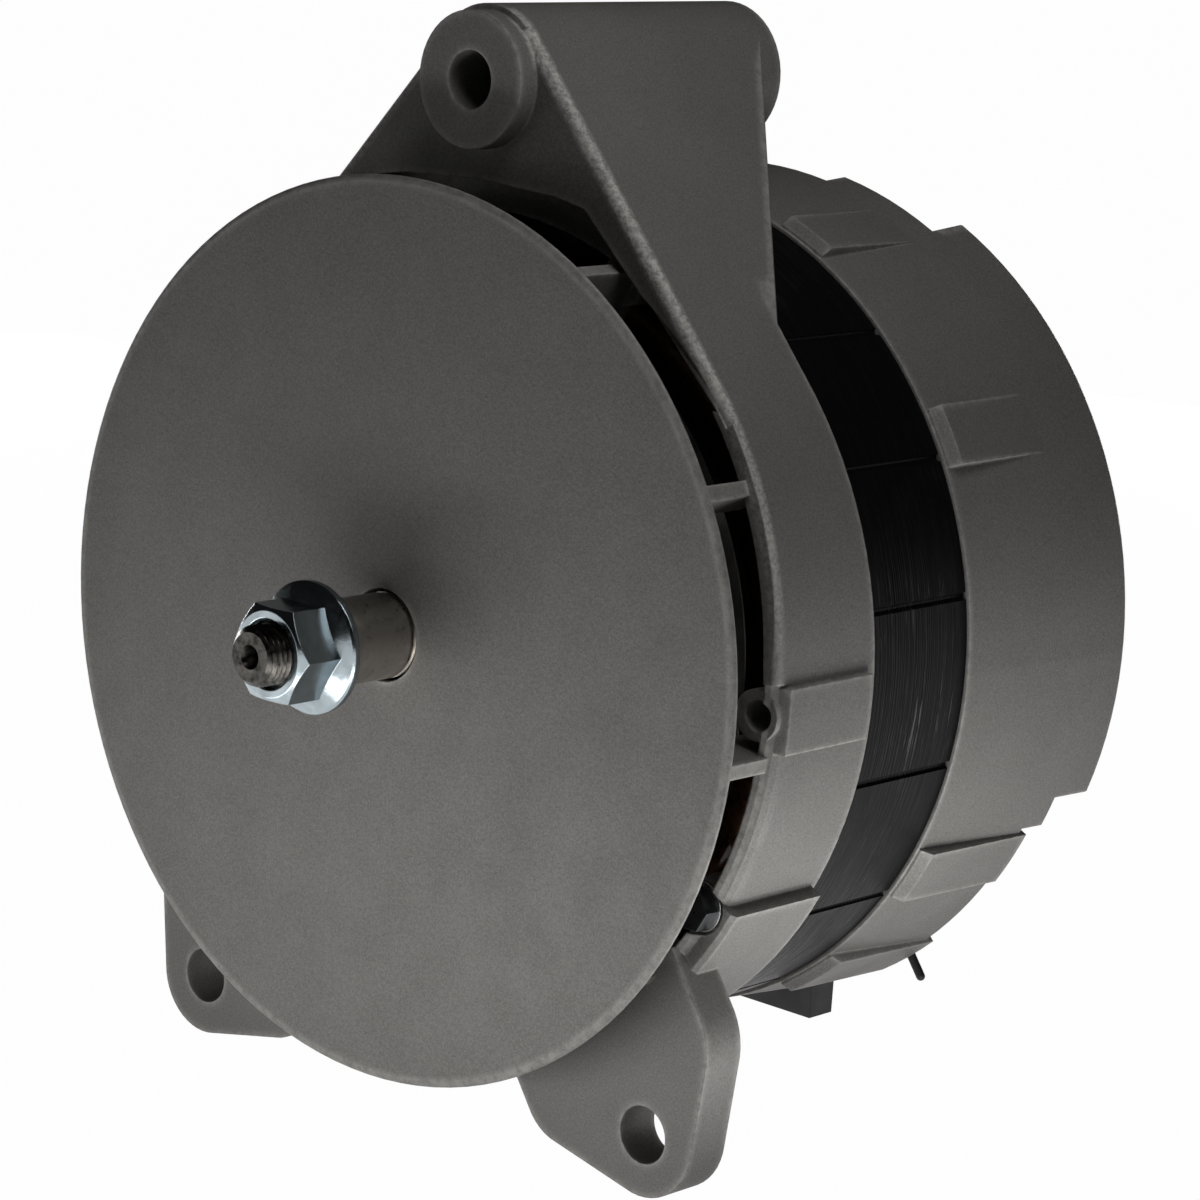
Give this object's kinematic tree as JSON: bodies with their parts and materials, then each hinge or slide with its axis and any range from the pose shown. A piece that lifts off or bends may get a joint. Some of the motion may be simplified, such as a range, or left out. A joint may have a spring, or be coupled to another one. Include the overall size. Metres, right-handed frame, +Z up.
{
  "type": "engine alternator",
  "caption": "Claw-pole engine alternator with a plain front plate, a long hinge spool on top, two lower ears, a threaded shaft with a flange nut and rear terminals.",
  "frame": {"origin": "on the shaft's axis at the inner end of the pulley seat, half a millimetre in front of the front plate", "axes": "-Y out of the pulley end along the shaft, +Y to the rear terminals, +Z up to the hinge spool, +X to the right seen from the pulley end"},
  "size_m": [0.18, 0.1817, 0.2234],
  "materials": {
    "cast_aluminium": "sand-cast and blasted, dark grey",
    "core_lacquer": "black lacquer over laminations",
    "winding": "enamelled copper wire under clear varnish",
    "bright_zinc": "bright bluish zinc plate",
    "zinc_steel": "zinc plate, satin",
    "turned_steel": "turned and ground",
    "bearing_steel": "ground",
    "pressed_steel": "pressed sheet, oiled",
    "pole_iron": "forged, dark oxide",
    "black_plastic": "moulded, fine grain",
    "ivory_plastic": "moulded nylon",
    "red_plastic": "moulded",
    "lead_sleeve": "varnished sleeving",
    "carbon": "copper-graphite block",
    "copper": "turned copper",
    "brass": "plain",
    "sink_aluminium": "rolled plate",
    "cage_brass": "pressed"
  },
  "bodies": {
    "housing": {"drive_end_housing": "cast_aluminium", "rear_housing": "cast_aluminium", "stator_core": "core_lacquer", "stator_windings": "winding", "front_bearing_outer": "bearing_steel", "front_bearing_shields": "pressed_steel", "bearing_retainer": "pressed_steel", "retainer_screws": "zinc_steel", "rear_bearing_outer": "bearing_steel", "brush_holder": "black_plastic", "inner_brush_spring": "turned_steel", "outer_brush_spring": "turned_steel", "regulator": "black_plastic", "regulator_screws": "zinc_steel", "positive_heat_sink": "sink_aluminium", "negative_heat_sink": "sink_aluminium", "positive_diodes": "zinc_steel", "negative_diodes": "zinc_steel", "phase_leads": "lead_sleeve", "rectifier_insulators": "ivory_plastic", "rectifier_spacers": "sink_aluminium", "rectifier_screws": "zinc_steel", "output_stud": "brass", "stud_insulator": "red_plastic", "output_nut": "zinc_steel", "ground_stud": "zinc_steel", "ground_nut": "zinc_steel", "lower_through_bolts": "bright_zinc", "through_bolt_washers": "zinc_steel", "through_bolt_nuts": "bright_zinc", "upper_through_bolts": "bright_zinc", "terminal_pin": "black_plastic"},
    "rotor": {"shaft": "turned_steel", "bearing_spacer": "turned_steel", "fan": "pressed_steel", "front_pole": "pole_iron", "rear_pole": "pole_iron", "rotor_core": "pole_iron", "field_bobbin": "ivory_plastic", "field_coil": "winding", "field_leads": "copper", "slip_ring_sleeve": "black_plastic", "slip_rings": "copper", "front_bearing_inner": "bearing_steel", "rear_bearing_inner": "bearing_steel"},
    "nut": {"shaft_nut": "bright_zinc"},
    "front_balls": {"front_bearing_balls": "bearing_steel", "front_bearing_cage": "cage_brass"},
    "rear_balls": {"rear_bearing_balls": "bearing_steel", "rear_bearing_cage": "cage_brass"},
    "first_brush": {"inner_brush": "carbon"},
    "second_brush": {"outer_brush": "carbon"}
  },
  "joints": [
    {"name": "rotor_spin", "type": "hinge", "parent": "housing", "child": "rotor", "pos_m": [0, 0, 0], "axis": [0, 1, 0], "continuous": true},
    {"name": "nut_off", "type": "slide", "parent": "rotor", "child": "nut", "axis": [0, -1, 0], "range_m": [0, 0.06]},
    {"name": "front_cage_spin", "type": "hinge", "parent": "housing", "child": "front_balls", "pos_m": [0, 0, 0], "axis": [0, 1, 0], "continuous": true},
    {"name": "rear_cage_spin", "type": "hinge", "parent": "housing", "child": "rear_balls", "pos_m": [0, 0, 0], "axis": [0, 1, 0], "continuous": true},
    {"name": "first_brush_slide", "type": "slide", "parent": "housing", "child": "first_brush", "axis": [0, 0, -1], "range_m": [0, 0.006], "stiffness_N_per_m": 200, "springref_m": -0.012, "deforming": ["inner_brush_spring"]},
    {"name": "second_brush_slide", "type": "slide", "parent": "housing", "child": "second_brush", "axis": [0, 0, -1], "range_m": [0, 0.006], "stiffness_N_per_m": 200, "springref_m": -0.012, "deforming": ["outer_brush_spring"]}
  ],
  "couplings": [
    {"joint": "front_cage_spin", "follows": "rotor_spin", "ratio": 0.3641},
    {"joint": "rear_cage_spin", "follows": "rotor_spin", "ratio": 0.38}
  ]
}
